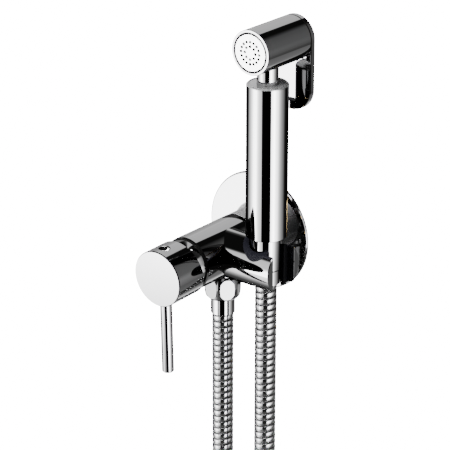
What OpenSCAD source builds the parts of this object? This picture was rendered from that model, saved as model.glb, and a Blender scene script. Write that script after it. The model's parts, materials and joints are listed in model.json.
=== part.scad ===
// Concealed bidet shower mixer with a wall-held trigger handset.
// Frame: the wall surface is the plane y = 0, the barrel's axis is the Y axis and the room is at -Y.
// +X points along the holder arm and +Z is up.

/* [Wall plate] */
// Diameter of the round wall plate
flange_d = 80; // [66:1:110]
// Thickness of the wall plate, from the wall to its face
flange_t = 2; // [1.6:0.1:3]
// Thickness of the plate's drawn sheet
flange_sheet = 1.1; // [0.8:0.1:1.4]
// Diameter of the collar where it meets the wall plate
collar_foot_d = 40; // [38:1:60]

/* [Mixer body] */
// Diameter of the mixer barrel
barrel_d = 35.2; // [35:0.1:40]
// Distance from the wall to the barrel's front edge
barrel_front = 73.8; // [73:0.1:80]
// Distance from the wall to the seam between collar and barrel
collar_seam = 23; // [20:0.5:24]
// Diameter of the holder arm
arm_d = 31.8; // [31:0.1:34]
// Distance from the wall to the arm's axis
arm_y = 42; // [41:0.5:44]
// Distance from the barrel's axis to the arm's end face
arm_reach = 52.5; // [50:0.5:62]
// Distance from the wall to the hose outlet's axis
outlet_y = 38; // [36:0.5:42]
// Width of the hexagonal hose nut across its flats
hex_af = 22; // [21:0.5:25]

/* [Handset holder] */
// Distance from the barrel's axis to the handset's axis
hand_x = 38.5; // [37:0.5:42]
// Width of the slot in the arm
slot_w = 21.6; // [21.6:0.1:23]
// Wall of the plastic liner in the slot
liner_t = 0.8; // [0.6:0.1:0.9]
// Width of the liner's lip on the arm's upper side
lip_w = 3.7; // [2:0.1:4]
// Width of the liner's lip along the straight part of the slot
lip_side = 1.4; // [1:0.1:2]
// Width of the liner's mouth, which the hose passes
mouth_w = 14.6; // [14.2:0.1:16]
// Height of the liner's lip over the arm's surface
lip_t = 1; // [0.6:0.1:1.5]

/* [Control knob] */
// Diameter of the control knob
knob_d = 36.8; // [35.6:0.1:40]
// Distance from the wall to the knob's front face
knob_front = 102.2; // [101:0.2:112]
// Distance that the knob's rear edge is cut back at the top
knob_slant = 6.4; // [6:0.1:8]
// Wall of the hollow knob
knob_wall = 1.4; // [1:0.1:1.5]
// Diameter of the pin lever under the knob
pin_d = 7.7; // [7:0.1:9]
// Distance from the barrel's axis to the pin lever's lower end
pin_drop = 67; // [45:1:100]
// Distance from the knob's front face to the pin lever's axis
pin_back = 7.8; // [7:0.1:9]
// Angle through which the knob tilts to open
lift_deg = 22; // [10:1:22]

/* [Handset] */
// Diameter of the handle
handle_d = 26.3; // [25:0.1:32]
// Height of the handle's lower edge over the barrel's axis
handle_z = 19.9; // [19.5:0.1:24]
// Length of the handle
handle_l = 100; // [60:1:140]
// Wall of the handle's outer sleeve
handle_wall = 1.3; // [1:0.1:2]
// Diameter of the neck between handle and head
neck_d = 13.3; // [12.5:0.1:15]
// Height of the head's axis over the handle's upper edge
head_rise = 22.9; // [21:0.1:30]
// Diameter of the spray head
head_d = 28.4; // [27:0.1:30]
// Distance from the handle's axis to the spray face
head_front = 17.2; // [16.5:0.1:22]
// Distance from the handle's axis to the head's rear face
head_back = 24.3; // [24:0.1:30]
// Number of nozzles in the outer ring
nozzles_outer = 16; // [6:1:20]
// Number of nozzles in the inner ring
nozzles_inner = 8; // [4:1:10]
// Diameter of one nozzle
nozzle_d = 1.4; // [1:0.1:1.6]

/* [Trigger lever] */
// Thickness of the lever plate
lever_t = 4.1; // [3:0.1:5]
// Distance between the centres of the lever's two round ends
lever_l = 32.2; // [26:0.2:45]
// Gap between the head and the lever plate
lever_gap = 0.3; // [0.2:0.05:0.5]
// Distance that the lever's stop block stands out
bumper_h = 2.8; // [1:0.1:3]

/* [Hose] */
// Outer diameter of the ribbed hose
hose_d = 14; // [13:0.1:15]
// Inner diameter of the hose
hose_bore = 8.4; // [7:0.1:9]
// Number of ribs on the whole hose
hose_ribs = 190; // [100:2:200]
// Diameter of the G3/8 pipe thread on the outlet and on the handset
thread_d = 16.66; // [16:0.01:17]

/* [In-wall body] */
// Distance from the barrel's axis to each inlet's mouth
inlet_reach = 50; // [46:1:70]
// Core diameter of the G1/2 thread in each inlet
inlet_d = 19; // [18:0.1:20]
// Depth of the thread in each inlet
inlet_depth = 15; // [12:0.5:16]
// Distance from the wall surface to the inlets' axis
inlet_y = 34; // [32:1:44]
// Distance between the two fixing holes
fixing_pitch = 64; // [60:1:90]
// Diameter of each fixing hole
fixing_d = 5.5; // [4:0.5:7]

/* [Hidden] */

$fn = 96;
// Static clearance between pieces that nest, and running clearance of pins and shafts
nest = 0.1;
run_gap = 0.05;
// Chamfer on visible edges, and the overshoot that makes a cut run past its solid
edge = 0.5;
over = 1;
// Size that is larger than any cut of this object
far = 120;

chrome = "silver";
brass = "goldenrod";
plastic = "white";
rubber = "black";

// Barrel and what screws into it
barrel_r = barrel_d / 2;
arm_r = arm_d / 2;
pivot_y = -(barrel_front - 0.8);
gasket_t = 1.2;
rim_edge = 0.7;
dome_r = knob_d / 2 - knob_wall - 0.4;
dome_wall = 1.2;
dome_mouth_r = 10.5;
nut_bore_r = 14.6;
nut_t = 4;
nut_front = -(barrel_front - 1.8);
cartridge_r = 12.5;
cartridge_floor = nut_front + nut_t + 21;
spigot_r = 13;
spigot_l = 17;
socket_wall = 3;
port_x = 6;
port_z = 3;
port_r = 3;
outlet_port_z = -6.5;
outlet_port_r = 3.2;

// Cartridge, from its floor towards the knob
seal_t = 1;
base_t = 4;
fixed_t = 3.4;
moving_t = 3.45;
fixed_front = cartridge_floor - seal_t - base_t - fixed_t;
moving_front = fixed_front - moving_t;
housing_front = nut_front + nut_t;
housing_lid = 2;
housing_wall = 1.3;
neck_bore_r = 7.7;
housing_neck_r = 10;
housing_neck_l = 7.5;
stem_w = 7;
stem_slot = 7.4;
slot_half = 6.4;
slot_deep_half = 8.2;
foot_r = 2.2;
foot_reach = 13.6;
disc_r = 8.2;
disc_offset = 2.3;
ball_pocket = 2;

// Knob and pin lever
pin_y = -(knob_front - pin_back);
rest_droop = 1.5;
knob_gap = 2.4;
knob_rear = -(barrel_front + knob_gap);
knob_bore_r = knob_d / 2 - knob_wall;
knob_floor = pivot_y - knob_bore_r - 0.4;
plug_d = 7.4;
screw_d = 5;
stud_d = 5.9;
pin_seat = 3;

// Outlet, hose ends and the handset's nut
boss_z = -17.9;
nipple_z = -29.5;
hex_l = 16;
hex_z = -34;
ferrule_d = 15.8;
hose_start_z = -45;
hose_end_z = -12;
cone_top_d = 19.8;
cone_foot_d = 18.8;
cone_foot_z = -1.6;
cone_bore_clear = 0.1;
horn_x = 8.6;
upper_ferrule_d = 18.6;
hand_nipple_z = 8;
cone_top_z = handle_z - 0.3;
insert_d = 10;
insert_flange_d = 15.6;
insert_flange_t = 1.4;
washer_t = 1.5;
insert_bore = 6.5;

// Handle, neck and head
handle_r = handle_d / 2;
handle_top_z = handle_z + handle_l;
head_z = handle_top_z + head_rise;
head_r = head_d / 2;
cap_t = 1.2;
core_d = 11;
core_bore = 8;
neck_foot = 10;
neck_up = head_rise - head_r + 3.2;
face_r = head_r - 2.2;
face_gap = 0.35;
face_t = 1.6;
face_depth = 2.8;
insert_t = 1.6;
seat_y = -8;
chamber_r = 6.3;
chamber_end = 14;
gland_r = 7;
gland_end = chamber_end + 5.8;
recess_r = 8.3;
outer_ring_r = 6.9;
inner_ring_r = 4.05;
nozzle_wall = 0.3;
mat_t = 1.1;

// Trigger lever, measured from the head's axis
hinge_y = head_back - 2.5;
hinge_z = 2 - head_r;
hinge_d = 2.5;
lug_w = 6;
lug_r = 2;
rock_relief = 0.8;
ear_x = 2.2;
ear_w = 2;
link_y = hinge_y + 0.2;
link_d = 2;
eye_slot = 0.6;
lever_y = head_back + lever_gap;
bumper_w = 7;
bumper_l = 5.8;
bumper_z = -lever_l - head_r + 0.9;

// In-wall body
throat_r = spigot_r + socket_wall;
throat_front = collar_seam - 3;
body_r = 22;
body_start = 6;
body_end = inlet_y + 19;
boss_r = 14.5;
channel_r = 4;
valve_r = 6;
valve_l = 12;
lug_t = 2.5;
bracket_pin_d = 10;
bracket_pin_l = 4;
lug_end_r = 8;

// Route of the hose's centre line: down from the outlet, round the free loop and up to the handset
hose_route = [
    [0, -38, -45], [0, -38, -65], [0, -38, -100], [0, -38, -150], [0, -38, -200], [-3, -38, -240],
    [-12, -38, -283], [-29, -38, -325], [-38, -38, -365], [-41, -38, -405], [-33, -39, -435],
    [-11, -39, -457], [19, -40, -465], [49, -41, -457], [71, -41, -435], [79, -42, -405],
    [76, -42, -365], [67, -42, -325], [51, -42, -283], [41, -42, -240], [38.5, -42, -200],
    [38.5, -42, -150], [38.5, -42, -100], [38.5, -42, -60], [38.5, -42, -32], [38.5, -42, -12]
];
hose_steps = 12;
hose_sides = 8;
hose_bore_rings = 24;
rib_depth = 0.6;

// Curve through the route's points, with its length so far at each step
function route_point(p, i, t) =
    let (a = p[max(i - 1, 0)], b = p[i], c = p[i + 1], d = p[min(i + 2, len(p) - 1)])
    0.5 * ((2 * b) + (c - a) * t + (2 * a - 5 * b + 4 * c - d) * t * t
        + (3 * b - a - 3 * c + d) * t * t * t);
function route_curve(p, steps) = [
    for (i = [0:len(p) - 2]) for (k = [0:steps - 1]) route_point(p, i, k / steps),
    p[len(p) - 1]
];
function running_length(p) = [
    for (i = 0, s = 0; i < len(p); i = i + 1, s = s + (i < len(p) ? norm(p[i] - p[i - 1]) : 0)) s
];
hose_curve = route_curve(hose_route, hose_steps);
hose_run = running_length(hose_curve);
hose_length = hose_run[len(hose_run) - 1];
hose_table = [
    for (k = [0:2]) [for (i = [0:len(hose_curve) - 1]) [hose_run[i], hose_curve[i][k]]]
];
function hose_at(s) = [for (k = [0:2]) lookup(s, hose_table[k])];
function unit(v) = v / norm(v);
function hose_dir(s) =
    unit(hose_at(min(s + 2, hose_length)) - hose_at(max(s - 2, 0)));
function hose_ring(s, r) =
    let (t = hose_dir(s), u = unit(cross(t, [0, 1, 0])), v = cross(t, u))
    [for (k = [0:hose_sides - 1])
        hose_at(s) + r * (cos(360 * k / hose_sides) * u + sin(360 * k / hose_sides) * v)];
echo(hose_length = hose_length);

// Rods, rings and turned shapes along one axis
module rod_y(d, y0, y1) {
    rotate([-90, 0, 0])
        translate([0, 0, y0])
            cylinder(d = d, h = y1 - y0);
}
module rod_z(d, z0, z1) {
    translate([0, 0, z0])
        cylinder(d = d, h = z1 - z0);
}
module rod_x(d, x0, x1) {
    rotate([0, 90, 0])
        translate([0, 0, x0])
            cylinder(d = d, h = x1 - x0);
}
// Turned shape: points are [radius, place along the axis]
module turn_y(points) {
    rotate([-90, 0, 0])
        rotate_extrude()
            polygon(points);
}
module turn_z(points) {
    rotate_extrude()
        polygon(points);
}
module turn_x(points) {
    rotate([0, 90, 0])
        rotate_extrude()
            polygon(points);
}
module ring_y(od, id, y0, y1) {
    turn_y([[id / 2, y0], [od / 2, y0], [od / 2, y1], [id / 2, y1]]);
}
module ring_z(od, id, z0, z1) {
    turn_z([[id / 2, z0], [od / 2, z0], [od / 2, z1], [id / 2, z1]]);
}
// Disc along Y with both rims chamfered by c
module disc_y(d, y0, y1, c) {
    turn_y([[0, y0], [d / 2 - c, y0], [d / 2, y0 + c], [d / 2, y1 - c], [d / 2 - c, y1], [0, y1]]);
}
module at_outlet() {
    translate([0, -outlet_y, 0])
        children();
}
module at_handset() {
    translate([hand_x, -arm_y, 0])
        children();
}
module at_head() {
    translate([hand_x, -arm_y, head_z])
        children();
}
// Places a child at the hot and at the cold port
module at_ports() {
    for (side = [-1, 1])
        translate([side * port_x, 0, port_z])
            children();
}

// In-wall body: two inlets, two channels and the socket that the mixer plugs into
module inlet_body() {
    color(brass)
        difference() {
            union() {
                rod_y(2 * throat_r, -throat_front, body_start + over);
                disc_y(2 * body_r, body_start, body_end, 1.5);
                translate([0, inlet_y, 0])
                    rod_x(2 * boss_r, -inlet_reach, inlet_reach);
            }
            rod_y(2 * spigot_r + 2 * nest, -throat_front - over, socket_floor());
            at_ports()
                rod_y(2 * port_r, socket_floor() - over, inlet_y);
            inlet_channels();
            lock_holes(4.1);
            rod_y(bracket_pin_d, body_end - bracket_pin_l, body_end + over);
        }
}
function socket_floor() = spigot_l - collar_seam + seal_t;
// Flat bracket behind the body, with a hole for a wall screw at each end
module fixing_bracket() {
    color("gray")
        difference() {
            union() {
                translate([0, body_end, 0])
                    rotate([-90, 0, 0])
                        linear_extrude(lug_t) {
                            for (side = [-1, 1])
                                translate([0, side * fixing_pitch / 2])
                                    circle(lug_end_r);
                            square([2 * lug_end_r, fixing_pitch], center = true);
                        }
                rod_y(bracket_pin_d - 2 * nest, body_end - bracket_pin_l + nest, body_end + over);
            }
            for (side = [-1, 1])
                translate([0, 0, side * fixing_pitch / 2])
                    rod_y(fixing_d, body_end - over, body_end + lug_t + over);
        }
}
module inlet_channels() {
    for (side = [-1, 1])
        translate([0, inlet_y, 0])
            rotate([0, side * 90, 0]) {
                translate([0, 0, inlet_reach - inlet_depth])
                    cylinder(d = inlet_d, h = inlet_depth + over);
                translate([0, 0, inlet_reach - inlet_depth - valve_l - 2])
                    cylinder(r = valve_r + nest, h = valve_l + 3);
                translate([0, 0, port_x - 1])
                    cylinder(r = channel_r, h = inlet_reach - inlet_depth - port_x);
            }
}
module lock_holes(d) {
    for (k = [0:2])
        rotate([0, 90 + 120 * k, 0])
            translate([0, -collar_seam + spigot_l - 7, spigot_r - 1])
                cylinder(d = d, h = socket_wall + 2);
}
module lock_screws() {
    color(brass)
        for (k = [0:2])
            rotate([0, 90 + 120 * k, 0])
                translate([0, -collar_seam + spigot_l - 7, spigot_r - 0.5])
                    difference() {
                        cylinder(d = 4, h = socket_wall + 0.3);
                        translate([0, 0, socket_wall - 1.2])
                            cylinder(d = 2, h = 2, $fn = 6);
                    }
}
// Non-return valve in each inlet channel
module check_valves() {
    color(plastic)
        for (side = [-1, 1])
            translate([0, inlet_y, 0])
                rotate([0, side * 90, 0])
                    translate([0, 0, inlet_reach - inlet_depth - valve_l - 1.9])
                        turn_z([
                            [1.2, 0], [valve_r, 0], [valve_r, valve_l], [4.4, valve_l],
                            [4.4, 6], [2.6, 4.2], [1.2, 4.2]
                        ]);
}

// Wall plate, drawn from sheet, and the foam seal in its back
module flange() {
    r = flange_d / 2;
    hole_r = throat_r + 0.4;
    color(chrome)
        turn_y([
            [hole_r, -flange_t], [r - 1, -flange_t], [r - 0.3, -flange_t + 0.3], [r, -flange_t + 1],
            [r, 0], [r - flange_sheet, 0], [r - flange_sheet, flange_sheet - flange_t],
            [hole_r, flange_sheet - flange_t]
        ]);
}
module flange_seal() {
    color(rubber)
        ring_y(flange_d - 2 * flange_sheet - 2 * nest, 2 * throat_r + 12, flange_sheet - flange_t, 0);
}
// Collar that flares into a cove at the wall plate
module collar() {
    bore = throat_r + 0.2;
    foot = collar_foot_d / 2;
    rim = barrel_r - 0.15;
    cove_l = 7;
    cove = [for (k = [0:6]) let (a = 90 * k / 6)
        [rim + (foot - rim) * (1 - cos(a)), -flange_t - cove_l + cove_l * sin(a)]];
    color(chrome)
        turn_y(concat(
            [[bore, -flange_t], [bore, -collar_seam + nest], [rim - 0.4, -collar_seam + nest],
                [rim, -collar_seam + nest + 0.4]],
            cove
        ));
}
module port_seals() {
    color(rubber)
        at_ports()
            ring_y(2 * port_r + 3.4, 2 * port_r + 0.4, spigot_l - collar_seam, socket_floor());
}

// Chromed mixer casting: barrel, holder arm, rear spigot and hose outlet
module mixer_body() {
    color(chrome)
        difference() {
            union() {
                barrel_form();
                arm_form();
                rod_y(2 * spigot_r, -collar_seam - over, spigot_l - collar_seam);
                outlet_form();
            }
            barrel_bores();
            at_ports()
                rod_y(2 * port_r, cartridge_floor - over, spigot_l - collar_seam + over);
            lock_groove();
            outlet_bores();
            slot_cut(slot_w / 2, arm_reach + over);
        }
}
module barrel_form() {
    turn_y([
        [0, -barrel_front], [barrel_r - rim_edge, -barrel_front], [barrel_r, -barrel_front + rim_edge],
        [barrel_r, -collar_seam - 0.4], [barrel_r - 0.4, -collar_seam], [0, -collar_seam]
    ]);
}
module arm_form() {
    translate([0, -arm_y, 0])
        turn_x([
            [0, 0], [arm_r, 0], [arm_r, arm_reach - edge], [arm_r - edge, arm_reach], [0, arm_reach]
        ]);
}
module outlet_form() {
    at_outlet() {
        rod_z(thread_d + 2, boss_z, boss_z + 8);
        turn_z([
            [0, boss_z + over], [thread_d / 2, boss_z + over], [thread_d / 2, nipple_z + 0.8],
            [thread_d / 2 - 0.8, nipple_z], [0, nipple_z]
        ]);
    }
}
module barrel_bores() {
    rod_y(2 * nut_bore_r, -barrel_front - over, housing_front);
    rod_y(2 * cartridge_r + 2 * nest, housing_front - over, cartridge_floor);
}
module lock_groove() {
    translate([0, spigot_l - collar_seam - 7, 0])
        difference() {
            rod_y(2 * spigot_r + over, -2.3, 2.3);
            rod_y(2 * spigot_r - 1.2, -3, 3);
        }
}
module outlet_bores() {
    translate([0, 0, outlet_port_z])
        rod_y(2 * outlet_port_r, cartridge_floor - over, -outlet_y + outlet_port_r);
    at_outlet() {
        rod_z(8, nipple_z - over, outlet_port_z);
    }
}
// Upright slot through the arm: round at the handset's axis and open at the arm's end
module slot_cut(half_w, end_x) {
    at_handset() {
        rod_z(2 * half_w, -far / 2, far / 2);
        translate([0, -half_w, -far / 2])
            cube([end_x - hand_x, 2 * half_w, far]);
    }
}

// Plastic liner of the slot, with a lip that follows the arm's round upper side
module holder_liner() {
    color(rubber)
        difference() {
            union() {
                intersection() {
                    slot_cut(slot_w / 2 - run_gap, arm_reach - 0.3);
                    arm_rod(arm_d);
                }
                intersection() {
                    lip_plan();
                    difference() {
                        arm_rod(arm_d + 2 * lip_t);
                        arm_rod(arm_d + 0.04);
                    }
                    translate([0, -far, 0])
                        cube([far, 2 * far, far]);
                }
                intersection() {
                    slot_cut(slot_w / 2 - run_gap, arm_reach - 1);
                    arm_rod(arm_d + 2 * lip_t);
                    translate([0, -far, 0])
                        cube([far, 2 * far, far]);
                }
            }
            slot_cut_inner();
        }
}
// Lip seen from above: a wide ring round the bore and a narrow strip along the straight slot
module lip_plan() {
    at_handset()
        rod_z(slot_w + 2 * lip_w, -far / 2, far / 2);
    slot_cut(slot_w / 2 + lip_side, arm_reach - 1);
}
module arm_rod(d) {
    translate([0, -arm_y, 0])
        rod_x(d, 0, arm_reach + over);
}
function slot_inner() = slot_w / 2 - liner_t;
module slot_cut_inner() {
    at_handset() {
        turn_z([
            [0, -far / 2], [cone_r(cone_foot_z), -far / 2], [cone_r(cone_foot_z), cone_foot_z],
            [cone_r(far / 2), far / 2], [0, far / 2]
        ]);
        translate([0, -mouth_w / 2, -far / 2])
            cube([far, mouth_w, far]);
        translate([horn_x, -slot_inner(), -far / 2])
            cube([far, 2 * slot_inner(), far]);
    }
}
// Radius of the liner's tapered bore at a height
function cone_r(z) =
    cone_foot_d / 2 + cone_bore_clear
    + (cone_top_d - cone_foot_d) / 2 * (z - cone_foot_z) / (cone_top_z - cone_foot_z);

// Hose nut on the outlet, with its washer and the hose's lower ferrule
module outlet_washer() {
    color(rubber)
        at_outlet()
            ring_z(thread_d - 1.6, 9, nipple_z - washer_t, nipple_z);
}
module hex_nut() {
    turned_r = 0.5 * hex_af + 1.05;
    top_z = hex_z + hex_l;
    color(chrome)
        at_outlet()
            difference() {
                intersection() {
                    rotate([0, 0, -5])
                        translate([0, 0, hex_z])
                            cylinder(d = hex_af / cos(30), h = hex_l, $fn = 6);
                    turn_z([
                        [0, hex_z], [turned_r - 2.2, hex_z], [turned_r - 0.9, hex_z + 1.4],
                        [turned_r - 0.2, hex_z + 4], [turned_r, hex_z + hex_l / 2],
                        [turned_r - 0.2, top_z - 4], [turned_r - 0.9, top_z - 1.4],
                        [turned_r - 2.2, top_z], [0, top_z]
                    ]);
                }
                rod_z(thread_d + 2 * nest, lower_flange_z() - nest, top_z + over);
                rod_z(insert_d + 1, hex_z - over, nipple_z);
            }
}
module outlet_ferrule() {
    color(chrome)
        at_outlet() {
            ring_z(ferrule_d, insert_bore, hose_start_z, hex_z - nest);
            ring_z(insert_d, insert_bore, hex_z - over, lower_flange_z() + over);
            ring_z(insert_flange_d, insert_bore, lower_flange_z(), lower_flange_z() + insert_flange_t);
        }
}
function lower_flange_z() = nipple_z - washer_t - nest - insert_flange_t;

// One stretch of the ribbed hose between two lengths along it, with its bore
module ribbed_hose(s0, s1, ribs) {
    last = 2 * ribs;
    n = hose_sides;
    outer = [for (i = [0:last]) hose_ring(s0 + (s1 - s0) * i / last, hose_d / 2 - (i % 2) * rib_depth)];
    inner = [for (i = [0:hose_bore_rings])
        hose_ring(s0 + (s1 - s0) * i / hose_bore_rings, hose_bore / 2)];
    points = [for (ring = concat(outer, inner)) for (p = ring) p];
    first_in = (last + 1) * n;
    end_in = first_in + hose_bore_rings * n;
    skin = [for (i = [0:last - 1]) for (k = [0:n - 1])
        let (a = i * n + k, b = i * n + (k + 1) % n)
        each [[a, b, b + n], [a, b + n, a + n]]];
    wall = [for (i = [0:hose_bore_rings - 1]) for (k = [0:n - 1])
        let (a = first_in + i * n + k, b = first_in + i * n + (k + 1) % n)
        each [[a, b + n, b], [a, a + n, b + n]]];
    ends = [for (k = [0:n - 1])
        let (m = (k + 1) % n)
        each [
            [k, first_in + m, m], [k, first_in + k, first_in + m],
            [last * n + k, last * n + m, end_in + m], [last * n + k, end_in + m, end_in + k]
        ]];
    color(chrome)
        polyhedron(points, concat(skin, wall, ends));
}
module hose_fall() {
    ribbed_hose(0, hose_length / 2, hose_ribs / 2);
}
module hose_rise() {
    ribbed_hose(hose_length / 2, hose_length, hose_ribs / 2);
}

// Cartridge: seals, base, ceramic discs and housing
module cartridge_ports() {
    at_ports()
        children();
    translate([0, 0, outlet_port_z])
        children();
}
module cartridge_seals() {
    color(rubber)
        cartridge_ports()
            ring_y(8, 6.4, cartridge_floor - seal_t + run_gap, cartridge_floor);
}
module cartridge_base() {
    front = cartridge_floor - seal_t - base_t;
    color(plastic)
        difference() {
            rod_y(2 * cartridge_r, front, cartridge_floor - seal_t);
            cartridge_ports()
                rod_y(5, front - over, cartridge_floor);
        }
}
module fixed_disc() {
    color("ivory")
        difference() {
            rod_y(21, fixed_front, fixed_front + fixed_t - run_gap);
            cartridge_ports()
                rod_y(4, fixed_front - over, fixed_front + fixed_t + over);
        }
}
module moving_disc() {
    color("linen")
        translate([0, 0, disc_offset + foot_reach * sin(rest_droop)])
            difference() {
                rod_y(2 * disc_r, moving_front, fixed_front - run_gap);
                translate([0, 0, -disc_offset])
                    rod_y(2 * foot_r + 0.6, moving_front - over, moving_front + ball_pocket);
                rod_y(9, fixed_front - 0.6, fixed_front + over);
            }
}
module cartridge_housing() {
    inner_r = cartridge_r - housing_wall;
    back = fixed_front + fixed_t;
    color(plastic)
        turn_y([
            [cartridge_r, back], [cartridge_r, housing_front], [housing_neck_r, housing_front],
            [housing_neck_r, housing_front - housing_neck_l],
            [neck_bore_r, housing_front - housing_neck_l], [neck_bore_r, housing_front + housing_lid],
            [inner_r, housing_front + housing_lid], [inner_r, back]
        ]);
}
module retaining_nut() {
    color(brass)
        difference() {
            ring_y(2 * nut_bore_r - 2 * nest, 2 * housing_neck_r + 0.6, nut_front, housing_front);
            for (k = [0:3])
                rotate([0, 45 + 90 * k, 0])
                    translate([nut_bore_r - 3, nut_front - over, -1.5])
                        cube([6, 3, 3]);
        }
}
// Dark ring between barrel and dome, and the chromed dome under the knob
module trim_gasket() {
    y1 = -barrel_front - gasket_t;
    color(rubber)
        ring_y(2 * dome_r + 0.6, 2 * nut_bore_r - 1, y1, -barrel_front);
}
module trim_dome() {
    base = -barrel_front - gasket_t;
    skirt_r = nut_bore_r - 0.6;
    a0 = asin((pivot_y - base) / dome_r);
    a1 = acos(dome_mouth_r / dome_r);
    inner_r = dome_r - dome_wall;
    b1 = acos(dome_mouth_r / inner_r);
    b0 = asin((pivot_y - base) / inner_r);
    steps = 16;
    outer = [for (k = [0:steps]) let (a = a0 + (a1 - a0) * k / steps)
        [dome_r * cos(a), pivot_y - dome_r * sin(a)]];
    inner = [for (k = [0:steps]) let (a = b1 + (b0 - b1) * k / steps)
        [inner_r * cos(a), pivot_y - inner_r * sin(a)]];
    color(chrome)
        turn_y(concat(
            [[skirt_r, nut_front - nest], [skirt_r, base]], outer, inner,
            [[skirt_r - 1.6, base], [skirt_r - 1.6, nut_front - nest]]
        ));
}

// Control at rest: turned about the pin so that the knob hangs a little below level
module at_rest() {
    translate([0, pivot_y, 0])
        rotate([rest_droop, 0, 0])
            translate([0, -pivot_y, 0])
                children();
}

// Turner that carries the tilting stem, and the pin through both
module turner() {
    foot_y = moving_front - run_gap;
    plate_r = cartridge_r - housing_wall - 0.3;
    shoulder = housing_front + housing_lid + run_gap;
    mouth = housing_front - housing_neck_l - 1;
    color("dimgray")
        difference() {
            union() {
                rod_y(2 * plate_r, shoulder, foot_y);
                rod_y(2 * neck_bore_r - 2 * run_gap, mouth, shoulder + over);
            }
            translate([-stem_slot / 2, mouth - over, -slot_half])
                cube([stem_slot, foot_y - mouth + 2 * over, 2 * slot_half]);
            translate([-stem_slot / 2, shoulder + over, -slot_deep_half])
                cube([stem_slot, foot_y - shoulder, 2 * slot_deep_half]);
            translate([0, pivot_y, 0])
                rod_x(2.6, -10, 10);
        }
}
module stem_pin() {
    color("gray")
        translate([0, pivot_y, 0])
            rod_x(2.5, -7.2, 7.2);
}
module stem() {
    tip = knob_floor - 7.8;
    color(brass)
        at_rest()
            difference() {
                union() {
                    translate([-stem_w / 2, tip, -stem_w / 2])
                        cube([stem_w, pivot_y + 4 - tip, stem_w]);
                    rod_y(4, pivot_y, pivot_y + foot_reach);
                    translate([0, pivot_y + foot_reach, 0])
                        sphere(r = foot_r);
                }
                translate([0, pivot_y, 0])
                    rod_x(2.6, -10, 10);
            }
}

// Knob: hollow behind, with a rear edge cut back at the top so that it can tilt
module knob() {
    r = knob_d / 2;
    front = -knob_front;
    color(chrome)
        at_rest()
            difference() {
                turn_y([[0, front], [r - 0.6, front], [r, front + 0.6], [r, knob_rear], [0, knob_rear]]);
                rod_y(2 * knob_bore_r, knob_floor, knob_rear + over);
                knob_rear_cut();
                translate([-stem_w / 2 - nest, knob_floor - 8.2, -stem_w / 2 - nest])
                    cube([stem_w + 2 * nest, 10, stem_w + 2 * nest]);
                translate([0, pin_y, 0]) {
                    rod_z(plug_d + 0.2, r - 6.5, r + over);
                    rod_z(screw_d + 2 * nest, 0, r);
                    rod_z(stud_d + 2 * nest, -r - over, -6);
                    rod_z(pin_d + 0.2, -r - over, -r + pin_seat);
                }
            }
}
// Wedge that is taken off the knob's rear: nothing at the bottom and knob_slant at the top
module knob_rear_cut() {
    r = knob_d / 2;
    rotate([90, 0, 90])
        linear_extrude(2 * knob_d, center = true)
            polygon([
                [knob_rear, -r], [knob_rear - knob_slant, r], [knob_rear - knob_slant, r + 5],
                [knob_rear + 5, r + 5], [knob_rear + 5, -r]
            ]);
}
module clamp_screw() {
    color("gray")
        at_rest()
            translate([0, pin_y, 0])
                difference() {
                    rod_z(screw_d, stem_w / 2 + run_gap, knob_d / 2 - 7);
                    translate([0, 0, knob_d / 2 - 9.5])
                        cylinder(d = 2.5, h = 4, $fn = 6);
                }
}
// Dished dark plug over the clamp screw
module screw_plug() {
    z0 = knob_d / 2 - 6.4;
    z1 = knob_d / 2 - 1.2;
    color(rubber)
        at_rest()
            translate([0, pin_y, 0])
                turn_z([
                    [0, z0], [plug_d / 2, z0], [plug_d / 2, z1 - 0.3], [plug_d / 2 - 0.3, z1],
                    [plug_d / 2 - 0.9, z1], [plug_d / 2 - 1.5, z1 - 0.7], [0, z1 - 1.1]
                ]);
}
module pin_lever() {
    r = pin_d / 2;
    color(chrome)
        at_rest()
            translate([0, pin_y, 0])
                turn_z([
                    [0, -6.4], [stud_d / 2, -6.4], [stud_d / 2, -knob_d / 2 + pin_seat - nest],
                    [r, -knob_d / 2 + pin_seat - nest], [r, -pin_drop + 0.6], [r - 0.6, -pin_drop],
                    [0, -pin_drop]
                ]);
}

// Handset's hose end: ferrule, tapered nut and washer
module handset_ferrule() {
    color(chrome)
        at_handset() {
            turn_z([
                [insert_bore / 2, hose_end_z], [upper_ferrule_d / 2 - 0.5, hose_end_z],
                [upper_ferrule_d / 2, hose_end_z + 0.5], [upper_ferrule_d / 2, cone_foot_z - 0.8],
                [upper_ferrule_d / 2 - 0.5, cone_foot_z - 0.3], [insert_bore / 2, cone_foot_z - 0.3]
            ]);
            ring_z(insert_d, insert_bore, cone_foot_z - over, upper_flange_z() + over);
            ring_z(insert_flange_d, insert_bore, upper_flange_z(), upper_flange_z() + insert_flange_t);
        }
}
function upper_flange_z() = hand_nipple_z - washer_t - nest - insert_flange_t;
module cone_nut() {
    color(chrome)
        at_handset()
            turn_z([
                [insert_d / 2 + 0.5, cone_foot_z], [cone_foot_d / 2, cone_foot_z],
                [cone_top_d / 2, cone_top_z], [thread_d / 2 + nest, cone_top_z],
                [thread_d / 2 + nest, upper_flange_z() - nest],
                [insert_d / 2 + 0.5, upper_flange_z() - nest]
            ]);
}
module handset_washer() {
    color(rubber)
        at_handset()
            ring_z(thread_d - 1.6, 9, hand_nipple_z - washer_t, hand_nipple_z);
}

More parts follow.
